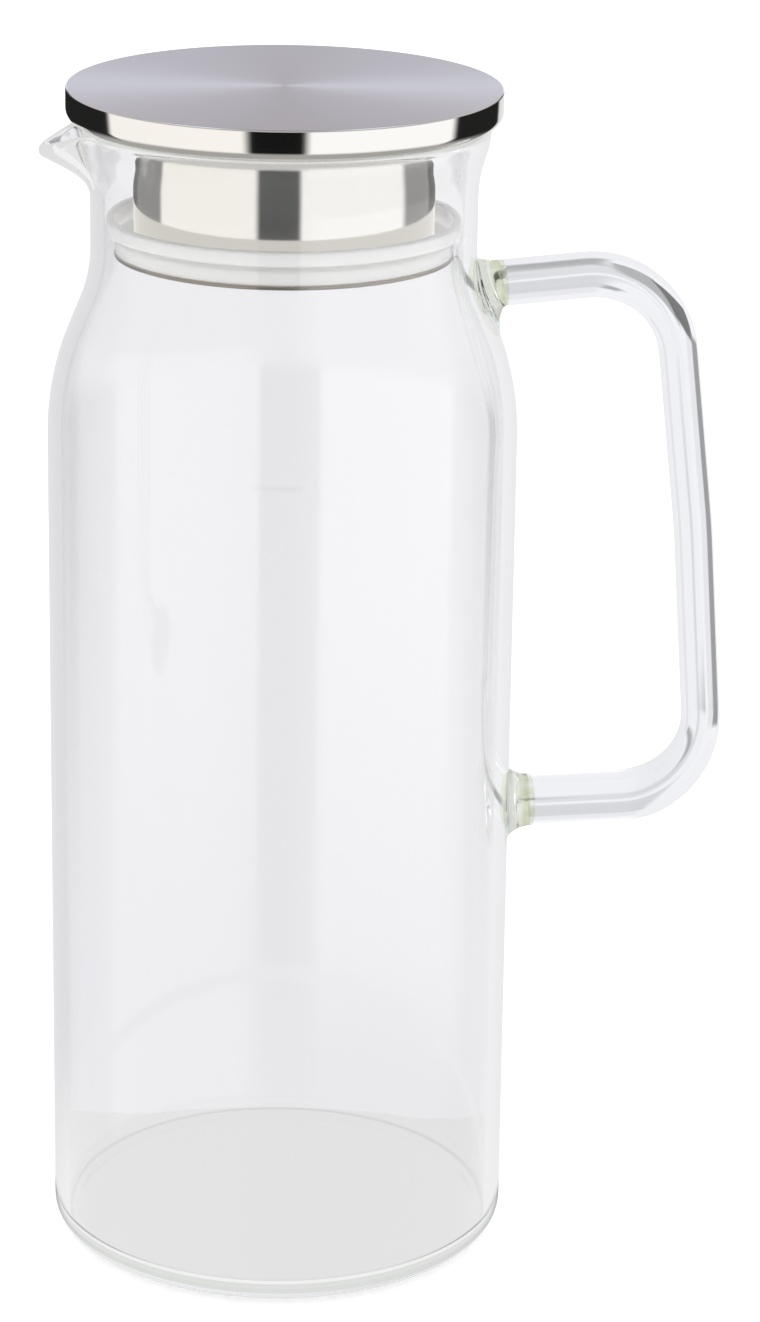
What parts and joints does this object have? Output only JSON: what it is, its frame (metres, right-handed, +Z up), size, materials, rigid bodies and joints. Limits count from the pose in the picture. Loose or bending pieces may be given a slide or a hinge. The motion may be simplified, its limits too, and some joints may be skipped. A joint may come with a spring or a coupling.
{
  "type": "glass pitcher with lid",
  "caption": "Clear glass pitcher with a fused glass rod handle, a pulled pouring lip and a lift-out brushed steel lid whose hollow plug carries a silicone seal.",
  "frame": {"origin": "centre of the base, on the plane that the pitcher stands on", "axes": "+Z up along the axis of the jug, +X towards the handle, the pouring lip towards -X"},
  "size_m": [0.1574, 0.105, 0.2691],
  "materials": {
    "clear_glass": "blown clear borosilicate glass",
    "rod_glass": "clear bent glass rod",
    "weld_glass": "fused glass with a green cast",
    "lid_steel": "circular brushed stainless steel",
    "plug_steel": "satin turned stainless steel",
    "silicone": "translucent moulded silicone"
  },
  "bodies": {
    "jug": {"glass_body": "clear_glass", "handle": "rod_glass", "upper_weld": "weld_glass", "lower_weld": "weld_glass"},
    "seal": {"seal_ring": "silicone"},
    "lid": {"lid_shell": "lid_steel", "lid_underplate": "lid_steel", "plug_sleeve": "plug_steel", "plug_floor": "plug_steel"}
  },
  "joints": [
    {"name": "lid_lift", "type": "slide", "parent": "jug", "child": "seal", "axis": [0, 0, 1], "range_m": [0, 0.06]},
    {"name": "lid_turn", "type": "hinge", "parent": "seal", "child": "lid", "pos_m": [0, 0, 0.236], "axis": [0, 0, 1], "continuous": true}
  ]
}
